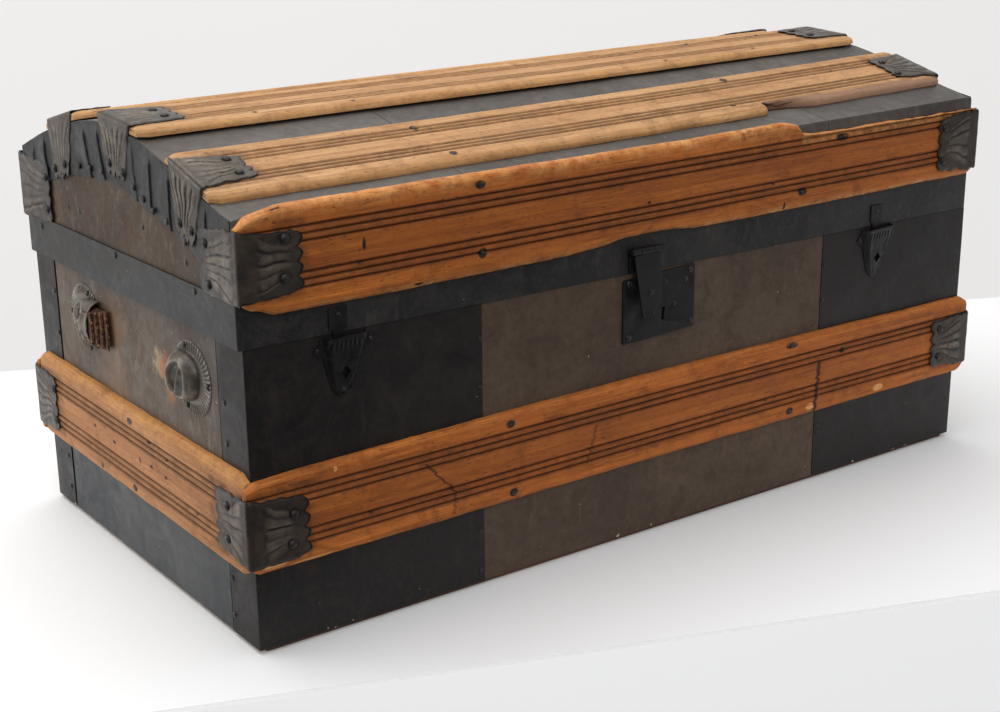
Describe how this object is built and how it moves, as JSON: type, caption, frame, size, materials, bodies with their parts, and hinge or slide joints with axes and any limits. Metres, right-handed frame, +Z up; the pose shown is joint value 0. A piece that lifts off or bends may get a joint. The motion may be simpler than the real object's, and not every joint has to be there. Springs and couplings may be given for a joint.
{
  "type": "dome top trunk",
  "caption": "Low dome top trunk: boards under painted sheet metal, grooved wooden slats with stamped clamps, hinged lid, hasp lock, catch pockets and handle caps.",
  "frame": {"origin": "under the middle of the trunk, on the floor it stands on", "axes": "+X along the length towards the right end, -Y towards the front with the lock, +Z up"},
  "size_m": [0.6342, 0.3289, 0.3093],
  "materials": {
    "slat_wood": "old shellac, worn to bare golden wood on the edges",
    "board_wood": "bare sawn softwood",
    "runner_wood": "dark stained wood, scuffed",
    "black_sheet": "worn black paint",
    "olive_sheet": "worn olive brown paint",
    "grey_sheet": "dull grey metal with rubbed paint",
    "end_sheet": "mottled brown grey metal with rust stains",
    "clamp_steel": "stamped tin with brown patina",
    "dark_iron": "blackened iron",
    "cap_steel": "stamped tin with brown patina",
    "leather": "dry torn leather"
  },
  "bodies": {
    "trunk": {"front_runner": "runner_wood", "back_runner": "runner_wood", "bottom_board": "board_wood", "front_board": "board_wood", "back_board": "board_wood", "left_end_board": "board_wood", "right_end_board": "board_wood", "front_left_corner_sheet": "black_sheet", "front_right_corner_sheet": "black_sheet", "front_centre_sheet": "olive_sheet", "back_sheet": "black_sheet", "left_end_sheet": "end_sheet", "right_end_sheet": "end_sheet", "front_body_slat": "slat_wood", "back_body_slat": "slat_wood", "left_body_slat": "slat_wood", "right_body_slat": "slat_wood", "front_left_corner_clamp": "clamp_steel", "front_right_corner_clamp": "clamp_steel", "back_left_corner_clamp": "clamp_steel", "back_right_corner_clamp": "clamp_steel", "left_front_handle_cap": "cap_steel", "left_rear_handle_cap": "cap_steel", "right_front_handle_cap": "cap_steel", "right_rear_handle_cap": "cap_steel", "leather_handle_stub": "leather", "lock_plate": "dark_iron", "left_catch_pocket": "dark_iron", "right_catch_pocket": "dark_iron", "left_hinge_body_leaf": "dark_iron", "right_hinge_body_leaf": "dark_iron"},
    "lid": {"lid_front_rail": "board_wood", "lid_back_rail": "board_wood", "lid_left_end_board": "board_wood", "lid_right_end_board": "board_wood", "lid_crown_board": "board_wood", "lid_sheet": "grey_sheet", "lid_band": "grey_sheet", "lid_front_slat": "slat_wood", "lid_back_slat": "slat_wood", "lid_front_slope_slat": "slat_wood", "lid_top_slat": "slat_wood", "lid_back_slope_slat": "slat_wood", "lid_front_slat_left_clamp": "clamp_steel", "lid_front_slat_right_clamp": "clamp_steel", "lid_back_slat_left_clamp": "clamp_steel", "lid_back_slat_right_clamp": "clamp_steel", "lid_front_slope_slat_left_clamp": "clamp_steel", "lid_front_slope_slat_right_clamp": "clamp_steel", "lid_top_slat_left_clamp": "clamp_steel", "lid_top_slat_right_clamp": "clamp_steel", "lid_back_slope_slat_left_clamp": "clamp_steel", "lid_back_slope_slat_right_clamp": "clamp_steel", "left_catch_tongue": "dark_iron", "right_catch_tongue": "dark_iron", "hasp_plate": "dark_iron", "left_hinge_lid_leaf": "dark_iron", "right_hinge_lid_leaf": "dark_iron"},
    "hasp": {"hasp": "dark_iron", "hasp_pin": "dark_iron"}
  },
  "joints": [
    {"name": "lid_hinge", "type": "hinge", "parent": "trunk", "child": "lid", "pos_m": [0, 0.1579, 0.1842], "axis": [-1, 0, 0], "range_deg": [0, 105]},
    {"name": "hasp_hinge", "type": "hinge", "parent": "lid", "child": "hasp", "pos_m": [-0.018, -0.1582, 0.199], "axis": [-1, 0, 0], "range_deg": [-9, 120]}
  ]
}
